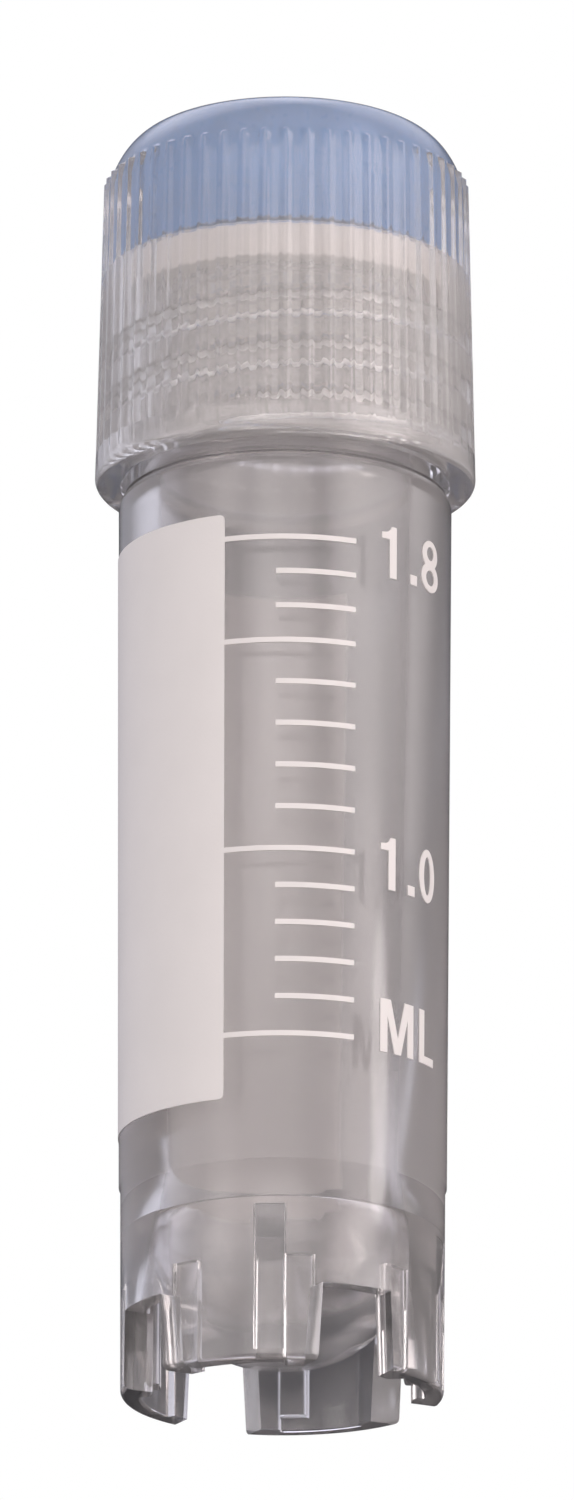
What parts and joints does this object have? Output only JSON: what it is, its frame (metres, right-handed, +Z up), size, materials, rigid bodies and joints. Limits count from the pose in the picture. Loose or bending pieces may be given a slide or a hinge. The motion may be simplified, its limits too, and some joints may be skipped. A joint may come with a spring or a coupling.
{
  "type": "cryogenic vial with screw cap",
  "caption": "Self-standing freezer vial with a notched foot skirt, printed scale and writing panel, closed by a ribbed screw cap with a colour insert and a soft sealing washer.",
  "frame": {"origin": "centre of the foot, on the plane the vial stands on", "axes": "+Z up along the vial's axis to the cap's top, -Y the front with the graduation lines, writing panel on the -X side"},
  "size_m": [0.0142, 0.0142, 0.049],
  "materials": {
    "natural_plastic": "translucent natural polypropylene, smooth",
    "cap_plastic": "translucent natural polypropylene, ribbed grip",
    "insert_plastic": "blue polypropylene",
    "washer_silicone": "white silicone, matt",
    "white_ink": "matt white screen print"
  },
  "bodies": {
    "vial": {"vial": "natural_plastic", "writing_panel": "white_ink", "graduation_marks": "white_ink"},
    "washer": {"sealing_washer": "washer_silicone"},
    "cap": {"cap_shell": "cap_plastic", "cap_insert": "insert_plastic"}
  },
  "joints": [
    {"name": "cap_lift", "type": "slide", "parent": "vial", "child": "washer", "axis": [0, 0, 1], "range_m": [0, 0.008]},
    {"name": "cap_turn", "type": "hinge", "parent": "washer", "child": "cap", "pos_m": [0, 0, 0.04], "axis": [0, 0, 1], "range_deg": [0, 1440]}
  ],
  "couplings": [
    {"joint": "cap_turn", "follows": "cap_lift", "rad_per_m": 3141.6}
  ]
}
